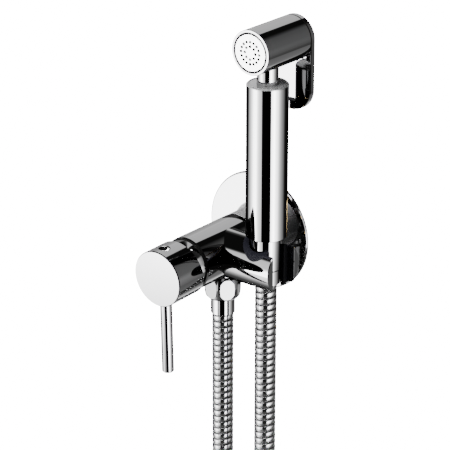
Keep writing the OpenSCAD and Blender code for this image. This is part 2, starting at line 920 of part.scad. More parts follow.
// Handle: threaded end, sleeve, water tube and top cap
module handle_end() {
    inner_r = handle_r - handle_wall - nest;
    color(brass)
        at_handset()
            turn_z([
                [3.5, hand_nipple_z], [thread_d / 2 - 0.8, hand_nipple_z],
                [thread_d / 2, hand_nipple_z + 0.8], [thread_d / 2, handle_z],
                [inner_r, handle_z], [inner_r, handle_z + 8.5], [core_d / 2 + nest, handle_z + 8.5],
                [core_d / 2 + nest, handle_z + 4.5], [3.5, handle_z + 4.5]
            ]);
}
module handle_sleeve() {
    color(chrome)
        at_handset()
            turn_z([
                [handle_r - handle_wall, handle_z], [handle_r - 0.4, handle_z],
                [handle_r, handle_z + 0.4], [handle_r, handle_top_z - cap_t - nest],
                [handle_r - handle_wall, handle_top_z - cap_t - nest]
            ]);
}
module inner_tube() {
    color(plastic)
        at_handset()
            ring_z(core_d, core_bore, handle_z + 4.6, handle_top_z - neck_foot + 2.9);
}
module handle_top() {
    inner_r = handle_r - handle_wall - nest;
    bore = neck_d / 2 + nest;
    color(chrome)
        at_handset()
            turn_z([
                [bore, handle_top_z - 6.5], [inner_r, handle_top_z - 6.5],
                [inner_r, handle_top_z - cap_t], [handle_r, handle_top_z - cap_t],
                [handle_r, handle_top_z - 0.9], [handle_r - 0.9, handle_top_z],
                [handle_r - 1.3, handle_top_z], [handle_r - 1.6, handle_top_z - 0.4],
                [bore, handle_top_z - 0.4]
            ]);
}
module neck() {
    foot_z = handle_top_z - neck_foot;
    color(chrome)
        at_handset()
            turn_z([
                [core_d / 2 + nest, foot_z], [9, foot_z], [9, handle_top_z - 6.6],
                [neck_d / 2, handle_top_z - 6.6], [neck_d / 2, handle_top_z + neck_up],
                [core_bore / 2, handle_top_z + neck_up], [core_bore / 2, foot_z + 3],
                [core_d / 2 + nest, foot_z + 3]
            ]);
}
module neck_seal() {
    z = handle_top_z + neck_up;
    color(rubber)
        at_handset()
            ring_z(neck_d - 0.4, core_bore + 1, z, z + 0.9);
}

// Spray head: face recess, valve seat, valve chamber, gland bore and lever hinge
module head_body() {
    color(chrome)
        at_head()
            difference() {
                turn_y([
                    [0, -head_front], [head_r - 0.3, -head_front], [head_r, -head_front + 0.3],
                    [head_r, head_back - 0.3], [head_r - 0.3, head_back], [0, head_back]
                ]);
                rod_y(2 * face_r + 2 * face_gap, -head_front - over, -head_front + face_depth);
                rod_y(2 * face_r - 1.8, -head_front, -head_front + 6.2);
                rod_y(5.6, -head_front, 0);
                rod_y(2 * chamber_r, seat_y, chamber_end + over);
                rod_y(2 * gland_r, chamber_end, gland_end + over);
                rod_y(2 * recess_r, gland_end + nest, head_back + over);
                translate([0, 0, handle_top_z + neck_up + 1 - head_z])
                    rod_z(neck_d + 2 * nest, -far, 0);
                rod_z(7, -head_r, 0);
                lever_slot();
            }
}
module lever_slot() {
    w = lug_w + 0.4;
    gap = 0.3;
    translate([-w / 2, hinge_y - lug_r - gap, -head_r - over])
        cube([w, far, hinge_z + lug_r + gap + head_r + over]);
    translate([-head_r, head_back - rock_relief, -head_r - over])
        cube([2 * head_r, far, hinge_z + 0.2 + head_r + over]);
    translate([0, hinge_y, hinge_z])
        rod_x(hinge_d + 0.04, -head_r, 6);
}
module spray_plate() {
    color("white")
        at_head()
            difference() {
                rod_y(2 * face_r, -head_front + 0.1, -head_front + face_t);
                nozzles(nozzle_d, -head_front - over, -head_front + face_t + over);
            }
}
// Rods at all nozzles, in the two rings of the spray face
module nozzles(d, y0, y1) {
    for (k = [0:nozzles_outer - 1])
        rotate([0, 360 * k / nozzles_outer, 0])
            translate([0, 0, outer_ring_r])
                rod_y(d, y0, y1, $fn = 16);
    for (k = [0:nozzles_inner - 1])
        rotate([0, 360 * k / nozzles_inner, 0])
            translate([0, 0, inner_ring_r])
                rod_y(d, y0, y1, $fn = 16);
}
// Rubber mat behind the face, whose soft nozzles fill the face's holes
module nozzle_mat() {
    front = -head_front + face_t + run_gap;
    color(rubber)
        at_head()
            difference() {
                union() {
                    rod_y(2 * face_r + 2 * face_gap - 0.1, front, front + mat_t);
                    nozzles(nozzle_d - 0.1, -head_front + 0.2, front + over / 2);
                }
                nozzles(nozzle_d - 0.1 - 2 * nozzle_wall, -head_front - over, front + mat_t + over);
            }
}
module spray_insert() {
    color(plastic)
        at_head()
            difference() {
                rod_y(2 * face_r - 2, -head_front + face_depth + nest,
                    -head_front + face_depth + nest + insert_t);
                for (k = [0:5])
                    rotate([0, 60 * k, 0])
                        translate([0, 0, 6.5])
                            rod_y(4, -head_front, 0);
            }
}

// Valve that the lever pulls off its seat
module valve_stem() {
    eye_w = 2 * ear_x - 0.6;
    color("gray")
        at_head()
            difference() {
                union() {
                    rod_y(3, seat_y + 2.6, link_y - 1.5);
                    rod_y(8.6, seat_y + 3, seat_y + 4.4);
                    translate([-eye_w / 2, link_y - 1.9, -2.2])
                        cube([eye_w, 3.8, 4.4]);
                }
                for (side = [-1, 1])
                    translate([0, link_y, side * eye_slot])
                        rod_x(link_d + 0.2, -ear_x, ear_x);
                translate([-ear_x, link_y - link_d / 2 - nest, -eye_slot])
                    cube([2 * ear_x, link_d + 2 * nest, 2 * eye_slot]);
            }
}
module valve_disc() {
    color(rubber)
        at_head() {
            ring_y(8.8, 3.1, seat_y + 2.5, seat_y + 3);
            rod_y(8.8, seat_y + 0.3, seat_y + 2.5);
        }
}
module valve_spring() {
    wire = 0.9;
    coil_r = 4.7;
    curls = 6;
    rings = 8;
    sides = 6;
    y0 = seat_y + 4.4 + wire / 2 + run_gap;
    y1 = chamber_end - wire / 2 - run_gap;
    last = curls * rings;
    function coil(i) =
        let (a = 360 * i / rings) [coil_r * cos(a), y0 + (y1 - y0) * i / last, coil_r * sin(a)];
    points = [for (i = [0:last]) for (k = [0:sides - 1])
        let (a = 360 * i / rings, c = 360 * k / sides)
        coil(i) + wire / 2 * [cos(a) * cos(c), sin(c), sin(a) * cos(c)]];
    skin = [for (i = [0:last - 1]) for (k = [0:sides - 1])
        let (a = i * sides + k, b = i * sides + (k + 1) % sides)
        each [[a, b + sides, b], [a, a + sides, b + sides]]];
    ends = [for (k = [1:sides - 2])
        each [[0, k, k + 1], [last * sides, last * sides + k + 1, last * sides + k]]];
    color("gray")
        at_head()
            polyhedron(points, concat(skin, ends));
    echo(spring_least_gap = (y1 - y0) / curls - wire);
}
module stem_gland() {
    color(brass)
        at_head()
            turn_y([
                [3, chamber_end + nest], [gland_r - nest, chamber_end + nest],
                [gland_r - nest, gland_end], [1.5 + run_gap, gland_end],
                [1.5 + run_gap, chamber_end + 2.6], [3, chamber_end + 2.6]
            ]);
}
module stem_seal() {
    color(rubber)
        at_head()
            ring_y(5.9, 3 + 2 * run_gap, chamber_end + 0.3, chamber_end + 2.5);
}

// Trigger lever: flat plate with round ends, hinge lug and the two ears that pull the valve stem
module lever_pin() {
    color("gray")
        at_head()
            translate([0, hinge_y, hinge_z])
                rod_x(hinge_d, -6.4, 5.9);
}
module lever_plate() {
    color(chrome)
        at_head()
            difference() {
                union() {
                    plate_form(head_r, lever_l, lever_y, lever_y + lever_t, 0.4);
                    translate([-lug_w / 2, hinge_y, hinge_z - lug_r])
                        cube([lug_w, lever_y - hinge_y + over, 2 * lug_r]);
                    translate([0, hinge_y, hinge_z])
                        rod_x(2 * lug_r, -lug_w / 2, lug_w / 2);
                    for (x = [-ear_x - ear_w, ear_x])
                        translate([x, link_y - 1.9, -2.2])
                            cube([ear_w, lever_y - link_y + 1.9 + over, 4.4]);
                }
                translate([0, hinge_y, hinge_z])
                    rod_x(hinge_d + 2 * run_gap, -lug_w, lug_w);
                translate([0, link_y, 0])
                    rod_x(link_d + 0.02, -far, far);
            }
}
// Plate between two heights on Y with round ends at z = 0 and z = -l, and chamfered rims
module plate_form(r, l, y0, y1, c) {
    for (z = [0, -l])
        translate([0, 0, z])
            disc_y(2 * r, y0, y1, c);
    translate([0, 0, -l])
        linear_extrude(l)
            polygon([
                [c - r, y0], [r - c, y0], [r, y0 + c], [r, y1 - c],
                [r - c, y1], [c - r, y1], [-r, y1 - c], [-r, y0 + c]
            ]);
}
module link_pin() {
    color("gray")
        at_head()
            translate([0, link_y, 0])
                rod_x(link_d, -ear_x - ear_w, ear_x + ear_w);
}
// Stop block at the lever's lower end, which meets the handle
module lever_bumper() {
    front = lever_y - bumper_h;
    top = bumper_z + bumper_l;
    color(chrome)
        at_head()
            rotate([90, 0, 90])
                linear_extrude(bumper_w, center = true)
                    polygon([
                        [lever_y - 0.02, bumper_z], [front + 0.5, bumper_z], [front, bumper_z + 0.5],
                        [front, top - 0.5], [front + 0.5, top], [lever_y - 0.02, top]
                    ]);
}

inlet_body();
fixing_bracket();
check_valves();
flange();
flange_seal();
collar();
port_seals();
lock_screws();
mixer_body();
outlet_washer();
hex_nut();
outlet_ferrule();
hose_fall();
cartridge_seals();
cartridge_base();
fixed_disc();
moving_disc();
cartridge_housing();
retaining_nut();
trim_gasket();
trim_dome();
turner();
stem_pin();
stem();
knob();
clamp_screw();
screw_plug();
pin_lever();
holder_liner();
hose_rise();
handset_ferrule();
cone_nut();
handset_washer();
handle_end();
handle_sleeve();
inner_tube();
handle_top();
neck();
neck_seal();
head_body();
spray_plate();
nozzle_mat();
spray_insert();
valve_stem();
valve_disc();
valve_spring();
stem_gland();
stem_seal();
lever_pin();
lever_plate();
link_pin();
lever_bumper();
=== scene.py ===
# %% [markdown]
# # A concealed bidet mixer with a trigger hand shower
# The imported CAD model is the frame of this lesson: every node already has its real size and place.
# What is left is the looks: the camera of the photograph, a studio for polished metal, one finish for
# each material, and the pieces whose fine shape a plain solid can't show, such as the ribbed hose.
# Pieces are drawn in millimetres, and MM turns them into the metres of the scene. The camera, the
# studio and the finishes are in metres, except where MM stands beside a value.

# %% Load the frame
import json
import math

import bmesh
import bpy
import numpy as np
from mathutils import Matrix, Vector


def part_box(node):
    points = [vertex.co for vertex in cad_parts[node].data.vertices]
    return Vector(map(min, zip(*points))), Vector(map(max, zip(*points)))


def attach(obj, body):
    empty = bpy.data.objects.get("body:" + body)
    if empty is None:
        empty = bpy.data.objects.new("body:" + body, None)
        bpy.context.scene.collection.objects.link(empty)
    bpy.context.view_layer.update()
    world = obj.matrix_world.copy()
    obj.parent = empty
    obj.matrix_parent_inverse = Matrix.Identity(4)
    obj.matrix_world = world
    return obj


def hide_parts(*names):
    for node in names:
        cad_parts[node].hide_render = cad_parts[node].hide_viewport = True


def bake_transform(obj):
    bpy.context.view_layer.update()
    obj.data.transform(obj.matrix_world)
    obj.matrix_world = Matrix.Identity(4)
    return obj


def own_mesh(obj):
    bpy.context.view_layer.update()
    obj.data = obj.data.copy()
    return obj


MM = 0.001
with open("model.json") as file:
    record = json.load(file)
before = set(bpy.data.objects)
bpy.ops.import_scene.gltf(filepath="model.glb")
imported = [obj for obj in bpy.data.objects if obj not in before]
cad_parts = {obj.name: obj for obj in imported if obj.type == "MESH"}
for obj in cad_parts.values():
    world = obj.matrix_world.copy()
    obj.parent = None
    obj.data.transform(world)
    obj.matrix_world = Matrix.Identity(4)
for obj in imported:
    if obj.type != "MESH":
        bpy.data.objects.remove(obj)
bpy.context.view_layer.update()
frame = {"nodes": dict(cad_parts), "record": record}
record = frame["record"]

# %% [markdown]
# ## The camera
# The photograph was matched with a long lens that looks 22 degrees down and about 39 degrees from the
# right. A wide lens would also fit the knob, but its upright edges would lean together, and here the
# hose and the handle stay almost parallel, as they do in catalogue pictures.

# %% Camera
VIEW_YAW = math.radians(39.36)
VIEW_PITCH = math.radians(22.433)
CAMERA_PLACE = (0.77440, -0.97991, 0.51853)
FOCAL_PIXELS, PHOTO_PIXELS, SENSOR_WIDTH = 2068.33, 450, 36.0

lens = bpy.data.cameras.new("studio_camera")
lens.sensor_width = SENSOR_WIDTH
lens.lens = FOCAL_PIXELS / PHOTO_PIXELS * SENSOR_WIDTH
lens.clip_start, lens.clip_end = 0.05, 30.0
camera = bpy.data.objects.new("studio_camera", lens)
camera.location = CAMERA_PLACE
camera.rotation_euler = (math.pi / 2 - VIEW_PITCH, 0, VIEW_YAW)
bpy.context.scene.collection.objects.link(camera)
bpy.context.scene.camera = camera
print("lens", round(lens.lens, 1), "mm")

# %% [markdown]
# ## The hose
# A metal shower hose is a strip wound in a screw line round a rubber tube, so its ribs are one long
# helix and not a stack of rings. A row of rings would be simpler, but from the front its grooves would
# run level, and the real ones climb by half a pitch across the hose. So the mesh follows the screw: the
# ring of each step is sheared by one pitch, and joins the ring one turn further where it closes.
# The centre line repeats the route of the two CAD stretches that this one hose replaces.

# %% Route of the hose
HOSE_ROUTE = [
    (0, -38, -45), (0, -38, -65), (0, -38, -100), (0, -38, -150), (0, -38, -200), (-3, -38, -240),
    (-12, -38, -283), (-29, -38, -325), (-38, -38, -365), (-41, -38, -405), (-33, -39, -435),
    (-11, -39, -457), (19, -40, -465), (49, -41, -457), (71, -41, -435), (79, -42, -405),
    (76, -42, -365), (67, -42, -325), (51, -42, -283), (41, -42, -240), (38.5, -42, -200),
    (38.5, -42, -150), (38.5, -42, -100), (38.5, -42, -60), (38.5, -42, -32), (38.5, -42, -12),
]
STEPS_PER_POINT = 12


def smooth_line(points, steps):
    """Points along one smooth curve through the given ones."""
    p = np.array(points, float)
    line = []
    for i in range(len(p) - 1):
        a, b, c, d = p[max(i - 1, 0)], p[i], p[i + 1], p[min(i + 2, len(p) - 1)]
        for k in range(steps):
            t = k / steps
            line.append(0.5 * (2 * b + (c - a) * t + (2 * a - 5 * b + 4 * c - d) * t ** 2
                               + (3 * b - a - 3 * c + d) * t ** 3))
    return np.array(line + [p[-1]])


hose_line = smooth_line(HOSE_ROUTE, STEPS_PER_POINT)
hose_run = np.concatenate([[0], np.cumsum(np.linalg.norm(np.diff(hose_line, axis=0), axis=1))])
hose_length = float(hose_run[-1])
print("hose length", round(hose_length, 1), "mm")

# %% Directions along the hose
REACH = 1.5  # half of the stretch over which a direction is measured


def hose_points(run):
    """Points of the centre line at each length of the run."""
    run = np.clip(run, 0, hose_length)
    return np.stack([np.interp(run, hose_run, hose_line[:, k]) for k in range(3)], -1)


def hose_frames(run):
    """Centre and two cross directions of the hose at each length of the run."""
    run = np.clip(run, 0, hose_length)
    ahead = hose_points(run + REACH) - hose_points(run - REACH)
    ahead /= np.linalg.norm(ahead, axis=-1, keepdims=True)
    u = np.cross(ahead, [0, 1, 0])
    u /= np.linalg.norm(u, axis=-1, keepdims=True)
    return hose_points(run), u, np.cross(ahead, u)


print("hose starts at", hose_points(0.0), "and ends at", hose_points(hose_length))

# %% Rings of the screw
# Each pair of the strip is a place in one pitch and the strip's radius there: a flat band with rounded
# edges, and a narrow groove in which the dark inner tube shows.
RIB_PITCH = 4.3
TUBE_RADIUS, GROOVE_RADIUS = 6.2, 6.5
STRIP = [(0.00, TUBE_RADIUS), (0.08, TUBE_RADIUS), (0.11, 6.75), (0.16, 6.92), (0.22, 6.96),
         (0.78, 6.98), (0.84, 6.94), (0.89, 6.75), (0.92, TUBE_RADIUS)]
HOSE_SIDES = 28

turns = math.ceil(hose_length / RIB_PITCH) + 1
steps = [((n + place) * RIB_PITCH, radius) for n in range(-1, turns) for place, radius in STRIP]
side = np.arange(HOSE_SIDES)
ring_run = np.array([run for run, radius in steps])[:, None] + RIB_PITCH * side / HOSE_SIDES
ring_radius = np.array([radius for run, radius in steps])[:, None] * np.ones(HOSE_SIDES)
ring_radius = np.where((ring_run <= 0) | (ring_run >= hose_length), TUBE_RADIUS, ring_radius)
print("turns of the strip:", turns, "rings:", len(steps))

# %% Mesh of the screw
MERGE_DISTANCE, FLAT_DISTANCE = 2e-6, 1e-6  # in metres
SHARP_ANGLE = 50


def screw_faces():
    """Faces between neighbouring rings; the last side joins the ring one turn further on."""
    found = []
    for i in range(len(steps) - 1 - len(STRIP)):
        if ring_run[i].min() > hose_length or ring_run[i + 1].max() < 0:
            continue
        for j in range(HOSE_SIDES - 1):
            here, there = i * HOSE_SIDES + j, (i + 1) * HOSE_SIDES + j
            found.append((here, there, there + 1, here + 1))
        next_turn = (i + len(STRIP)) * HOSE_SIDES
        found.append(((i + 1) * HOSE_SIDES - 1, (i + 2) * HOSE_SIDES - 1,
                      next_turn + HOSE_SIDES, next_turn))
    return found


def close_mesh(mesh):
    """Merges doubles, drops loose points, fills both ends and turns the faces outwards."""
    bm = bmesh.new()
    bm.from_mesh(mesh)
    bmesh.ops.remove_doubles(bm, verts=bm.verts, dist=MERGE_DISTANCE)
    bmesh.ops.dissolve_degenerate(bm, dist=FLAT_DISTANCE, edges=bm.edges)
    loose = [vert for vert in bm.verts if not vert.link_faces]
    bmesh.ops.delete(bm, geom=loose, context="VERTS")
    rims = [edge for edge in bm.edges if len(edge.link_faces) == 1]
    bmesh.ops.holes_fill(bm, edges=rims, sides=0)
    bmesh.ops.recalc_face_normals(bm, faces=bm.faces)
    bm.to_mesh(mesh)
    bm.free()


centre, u, v = hose_frames(ring_run)
angle = 2 * math.pi * side / HOSE_SIDES
outward = np.cos(angle)[:, None] * u + np.sin(angle)[:, None] * v
hose_mesh = bpy.data.meshes.new("ribbed_hose")
hose_mesh.from_pydata(((centre + ring_radius[..., None] * outward).reshape(-1, 3) * MM).tolist(),
                      [], screw_faces())
groove = hose_mesh.attributes.new("groove", "FLOAT", "POINT")
groove.data.foreach_set("value", (ring_radius < GROOVE_RADIUS).astype(np.float32).ravel())
close_mesh(hose_mesh)
hose_mesh.polygons.foreach_set("use_smooth", [True] * len(hose_mesh.polygons))
hose_mesh.set_sharp_from_angle(angle=math.radians(SHARP_ANGLE))
print("hose faces:", len(hose_mesh.polygons))

# %% The hose as a piece
hose = bpy.data.objects.new("ribbed_hose", hose_mesh)
bpy.context.scene.collection.objects.link(hose)
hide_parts("hose_fall", "hose_rise")
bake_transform(hose)
print("hose hangs from", HOSE_ROUTE[0], "to", HOSE_ROUTE[-1])

# %% [markdown]
# ## The holder's liner
# The handset's nut rests in a black liner that is pushed into the slotted arm. Its lip lies on the
# round arm like a saddle, so it dips in front and rises at the side. A ring cut out of a tube would
# leave sharp steps there, so one cross-section with a rounded lip is carried round the slot instead,
# and each of its points takes its height from the arm below it.

# %% One cross-section of the liner
HANDSET_X, ARM_Y, ARM_RADIUS = 38.5, -42.0, 15.9
BORE, SLOT_WALL, MOUTH = 10.0, 10.75, 7.3
LIP_ROUND, LIP_STRAIGHT, LIP_GAP, SKIN = 14.5, 12.2, 0.15, 0.03
MOUTH_FLARE = (8.4, 8.9)
# Each pair is a place, counted outwards from the bore, and a height above the arm
BORE_EDGE = [(0.0, -2.2), (0.12, -1.2), (0.4, -0.6)]
SHOULDER, SHOULDER_RISE = 0.8, -0.1
# Places across the lip from the slot's wall to its outer edge, with the height above the arm
LIP_CROWN = [(0.0, 0.12), (0.2, 0.36), (0.45, 0.45), (0.7, 0.36), (0.9, 0.18), (1.0, 0.03)]


def arm_top(point_y):
    """Height of the round arm's upper side at a place across it."""
    return math.sqrt(ARM_RADIUS ** 2 - (point_y - ARM_Y) ** 2)


def bore_half_width(run):
    """Half width of the bore, of the mouth that the hose passes, and of its flared end."""
    if run < math.sqrt(BORE ** 2 - MOUTH ** 2):
        return math.sqrt(BORE ** 2 - run ** 2)
    flare = (run - MOUTH_FLARE[0]) / (MOUTH_FLARE[1] - MOUTH_FLARE[0])
    return MOUTH + (BORE - MOUTH) * min(max(flare, 0), 1)


def liner_section(run, angle):
    """Closed cross-section of the liner: run is how far it is out along the slot from the bore."""
    inner = bore_half_width(run)
    outer = max(LIP_STRAIGHT, math.sqrt(LIP_ROUND ** 2 - run ** 2))
    edge = SLOT_WALL + LIP_GAP
    top = [(inner + out, rise) for out, rise in BORE_EDGE]
    top.append(((inner + SHOULDER + edge) / 2, SHOULDER_RISE))
    top += [(edge + (outer - edge) * part, rise) for part, rise in LIP_CROWN]
    top.append((SLOT_WALL + SKIN, SKIN))
    section = []
    for out, rise in top:
        y = ARM_Y + math.sin(angle) * out
        section.append((HANDSET_X + run + math.cos(angle) * out, y, arm_top(y) + rise))
    for out in (SLOT_WALL, inner):
        y = ARM_Y + math.sin(angle) * out
        section.append((HANDSET_X + run + math.cos(angle) * out, y, -arm_top(y)))
    return section


print("points in one section:", len(liner_section(0.0, math.pi)))

# %% Sections round the slot
# Stations lie close together between the bore and the mouth, where the width changes
LINER_END, MOUTH_END, MOUTH_START, BORE_START = 13.0, 9.0, 8.8, 0.2

straight = list(np.linspace(LINER_END, MOUTH_END, 9)) + list(np.linspace(MOUTH_START, BORE_START, 34))
stations = [(run, math.pi * 0.5) for run in straight]
stations += [(0.0, angle) for angle in np.linspace(0.5, 1.5, 61) * math.pi]
stations += [(run, math.pi * 1.5) for run in reversed(straight)]
rows = [liner_section(run, angle) for run, angle in stations]
around = len(rows[0])
faces = [tuple(range(around)), tuple((len(rows) - 1) * around + k for k in range(around))]
for i in range(len(rows) - 1):
    for k in range(around):
        m = (k + 1) % around
        faces.append((i * around + k, (i + 1) * around + k, (i + 1) * around + m, i * around + m))
print("liner sections:", len(rows), "faces:", len(faces))

# %% The liner as a piece


def deselect():
    bpy.ops.object.select_all(action="DESELECT")


def smooth_outwards(piece, angle):
    """Turns the faces of one piece outwards, then shades them smooth up to an angle in degrees."""
    deselect()
    piece.select_set(True)
    bpy.context.view_layer.objects.active = piece
    bpy.ops.object.mode_set(mode="EDIT")
    bpy.ops.mesh.select_all(action="SELECT")
    bpy.ops.mesh.normals_make_consistent(inside=False)
    bpy.ops.object.mode_set(mode="OBJECT")
    bpy.ops.object.shade_smooth_by_angle(angle=math.radians(angle))


liner_mesh = bpy.data.meshes.new("rubber_liner")
liner_mesh.from_pydata([[c * MM for c in point] for row in rows for point in row], [], faces)
liner = bpy.data.objects.new("rubber_liner", liner_mesh)
bpy.context.scene.collection.objects.link(liner)
smooth_outwards(liner, 45)
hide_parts("holder_liner")
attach(liner, "mixer")
print("liner size:", [round(v / MM, 1) for v in liner.dimensions], "mm")

# %% [markdown]
# ## Spray nozzles
# The spray face has two rings of soft nozzles, which a thumb rubs free of limescale. Dark dots would be
# enough from afar, but close by they look printed on. A nozzle is a short round stub with a rounded tip
# and a small hole, so it starts as a cylinder, its rim is bevelled, and its front face is inset and
# pushed in for the hole. The other nozzles are copies of it.

# %% One nozzle
FACE_PLACE = (38.5, -59.1, 142.8)
NOZZLE_RADIUS, NOZZLE_DEPTH, NOZZLE_BEVEL = 0.78, 1.0, 0.2
HOLE_RADIUS, HOLE_DEPTH = 0.42, 0.6
FACING_FRONT = -0.9


def select_faces(piece, wanted):
    """Selects the faces of a piece in edit mode for which wanted is true."""
    bm = bmesh.from_edit_mesh(piece.data)
    for face in bm.faces:
        face.select = wanted(face)
    bmesh.update_edit_mesh(piece.data)


deselect()
bpy.ops.mesh.primitive_cylinder_add(vertices=20, radius=NOZZLE_RADIUS * MM, depth=NOZZLE_DEPTH * MM,
                                    location=[c * MM for c in FACE_PLACE], rotation=(math.pi / 2, 0, 0))
nozzle = bpy.context.object
bpy.ops.object.transform_apply(location=True, rotation=True, scale=True)
bpy.ops.object.mode_set(mode="EDIT")
bpy.ops.mesh.select_mode(type="FACE")
bpy.ops.mesh.select_all(action="DESELECT")
select_faces(nozzle, lambda face: face.normal.y < FACING_FRONT)
bpy.ops.mesh.bevel(offset=NOZZLE_BEVEL * MM, segments=3, affect="EDGES")
select_faces(nozzle, lambda face: len(face.verts) > 4 and face.normal.y < FACING_FRONT)
bpy.ops.mesh.inset(thickness=(NOZZLE_RADIUS - NOZZLE_BEVEL - HOLE_RADIUS) * MM)
bpy.ops.mesh.extrude_region_move(TRANSFORM_OT_translate={"value": (0, HOLE_DEPTH * MM, 0)})
bpy.ops.object.mode_set(mode="OBJECT")
print("one nozzle:", len(nozzle.data.polygons), "faces")

# %% Two rings of nozzles
NOZZLE_RINGS = [(16, 6.9), (8, 4.05)]  # how many, and the ring's radius

copies = []
for count, ring in NOZZLE_RINGS:
    for k in range(count):
        turn = 2 * math.pi * k / count
        copy = bpy.data.objects.new("nozzle", nozzle.data.copy())
        copy.data.transform(Matrix.Translation((math.sin(turn) * ring * MM, 0, math.cos(turn) * ring * MM)))
        bpy.context.scene.collection.objects.link(copy)
        copies.append(copy)
bpy.data.objects.remove(nozzle)
deselect()
for copy in copies:
    copy.select_set(True)
bpy.context.view_layer.objects.active = copies[0]
bpy.ops.object.join()
nozzles = bpy.context.object
nozzles.name = "spray_nozzles"
smooth_outwards(nozzles, 35)
print("nozzles:", len(copies), "faces:", len(nozzles.data.polygons))

# %% [markdown]
# ## Dark ring in the gap of the spray face
# The gap between the white face and the chromed head lies in shade, and a thin black rubber ring
# stands in for that shadow. It could be painted on the face, but a ring stands a little proud and
# catches the light, so a torus is stretched to a flat band.

# %% Ring of painted shade
SHADE_RING_RADIUS, SHADE_RING_WIDTH, SHADE_RING_RISE = 12.05, 0.70, 0.35

# The black ring is painted shade: it stands for the shadow in the gap round the spray face.
deselect()
bpy.ops.mesh.primitive_torus_add(major_segments=96, minor_segments=12, major_radius=SHADE_RING_RADIUS * MM,
                                 minor_radius=SHADE_RING_WIDTH * MM, location=[c * MM for c in FACE_PLACE],
                                 rotation=(math.pi / 2, 0, 0))
shade_ring = bpy.context.object
shade_ring.name = "face_gap_shade_ring"
shade_ring.scale.z = SHADE_RING_RISE
bpy.ops.object.transform_apply(location=True, rotation=True, scale=True)
smooth_outwards(shade_ring, 60)
for piece in (nozzles, shade_ring):
    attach(piece, "handset")
print("seal faces:", len(shade_ring.data.polygons))

# %% [markdown]
# ## The valve's return spring
# Inside the head a coil spring pushes the valve shut, and it shortens when the trigger is pressed. Its
# wire could be a curve with a bevel, but a mesh can be squashed by the joint. So a small circle, the
# wire's section, is carried round the valve's axis by a Screw modifier, one iteration for each curl.

# %% Coil of the spring
CURLS, CURL_STEPS, WIRE_RADIUS, COIL_RADIUS, VALVE_TRAVEL = 6, 28, 0.45, 4.7, 3.1

spring_low, spring_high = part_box("valve_spring")
spring_length = (spring_high[1] - spring_low[1]) / MM
spring_place = (FACE_PLACE[0] * MM, spring_low[1] + WIRE_RADIUS * MM, FACE_PLACE[2] * MM)
deselect()
bpy.ops.mesh.primitive_circle_add(vertices=12, radius=WIRE_RADIUS * MM, location=spring_place)
spring = bpy.context.object
spring.name = "return_spring"
bpy.ops.object.mode_set(mode="EDIT")
bpy.ops.mesh.select_all(action="SELECT")
bpy.ops.transform.translate(value=(COIL_RADIUS * MM, 0, 0))
bpy.ops.object.mode_set(mode="OBJECT")
winding = spring.modifiers.new("winding", "SCREW")
winding.axis, winding.iterations = "Y", CURLS
winding.steps = winding.render_steps = CURL_STEPS
winding.screw_offset = (spring_length - 2 * WIRE_RADIUS) / CURLS * MM
bpy.ops.object.modifier_apply(modifier=winding.name)
bpy.ops.object.transform_apply(location=True, rotation=True, scale=True)
print("spring length", round(spring_length, 2), "mm, faces:", len(spring.data.polygons))

# %% Ends of the spring
bpy.ops.object.mode_set(mode="EDIT")
bpy.ops.mesh.select_mode(type="EDGE")
bpy.ops.mesh.select_all(action="SELECT")
bpy.ops.mesh.remove_doubles(threshold=0.001 * MM)
bpy.ops.mesh.select_all(action="DESELECT")
bpy.ops.mesh.select_non_manifold()
bpy.ops.mesh.fill_holes(sides=0)
bpy.ops.object.mode_set(mode="OBJECT")
smooth_outwards(spring, 60)
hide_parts("valve_spring")
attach(spring, "handset")
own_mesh(spring)
print("spring faces with its ends:", len(spring.data.polygons))

# %% [markdown]
# ## Shader arithmetic
# A finish is a few patterns that are added, multiplied and mixed. Wiring Math nodes one by one hides
# the idea, so one small class wraps a socket: `1 - mask * 0.3` then adds the nodes itself. Every node,
# also those that aren't plain arithmetic, comes from its one method, node().

# %% A socket that can be calculated with


class Flow:
    """One output socket of a node tree, with operators that add Math nodes."""

    def __init__(self, tree, socket=None):
        self.tree = tree
        self.socket = socket

    def node(self, kind, settings=None, sockets=None, out=0):
        """Adds a node: its settings first, then the values or links of its sockets."""
        made = self.tree.nodes.new(kind)
        for key, value in (settings or {}).items():
            if key == "stops":
                ramp = made.color_ramp
                while len(ramp.elements) < len(value):
                    ramp.elements.new(1.0)
                for element, (place, shade) in zip(ramp.elements, value):
                    element.position = place
                    element.color = (shade, shade, shade, 1)
            else:
                setattr(made, key, value)
        for key, value in (sockets or {}).items():
            if isinstance(value, Flow):
                self.tree.links.new(value.socket, made.inputs[key])
            else:
                made.inputs[key].default_value = value
        return Flow(self.tree, made.outputs[out] if made.outputs else None)

    def math(self, operation, first, second):
        return self.node("ShaderNodeMath", {"operation": operation}, {0: first, 1: second})

    def vector_math(self, operation, first, second, out=0):
        return self.node("ShaderNodeVectorMath", {"operation": operation}, {0: first, 1: second}, out)

    def __add__(self, other):
        return self.math("ADD", self, other)

    def __sub__(self, other):
        return self.math("SUBTRACT", self, other)

    def __mul__(self, other):
        return self.math("MULTIPLY", self, other)

    def __truediv__(self, other):
        return self.math("DIVIDE", self, other)

    def __radd__(self, other):
        return self.math("ADD", other, self)

    def __rsub__(self, other):
        return self.math("SUBTRACT", other, self)

    def __rmul__(self, other):
        return self.math("MULTIPLY", other, self)

    def __rtruediv__(self, other):
        return self.math("DIVIDE", other, self)

    def between(self, low, high):
        """0 below low, 1 above high, with a soft step from one to the other."""
        return self.node("ShaderNodeMapRange", {"interpolation_type": "SMOOTHSTEP"},
                         {"Value": self, "From Min": low, "From Max": high})

    def mixed(self, factor, first, second):
        """The first colour where the factor is 0 and the second where it is 1."""
        first, second = [(*c, 1) if isinstance(c, tuple) else c for c in (first, second)]
        return self.node("ShaderNodeMix", {"data_type": "RGBA"},
                         {"Factor": factor, 6: first, 7: second}, out=2)


print("shader arithmetic ready")

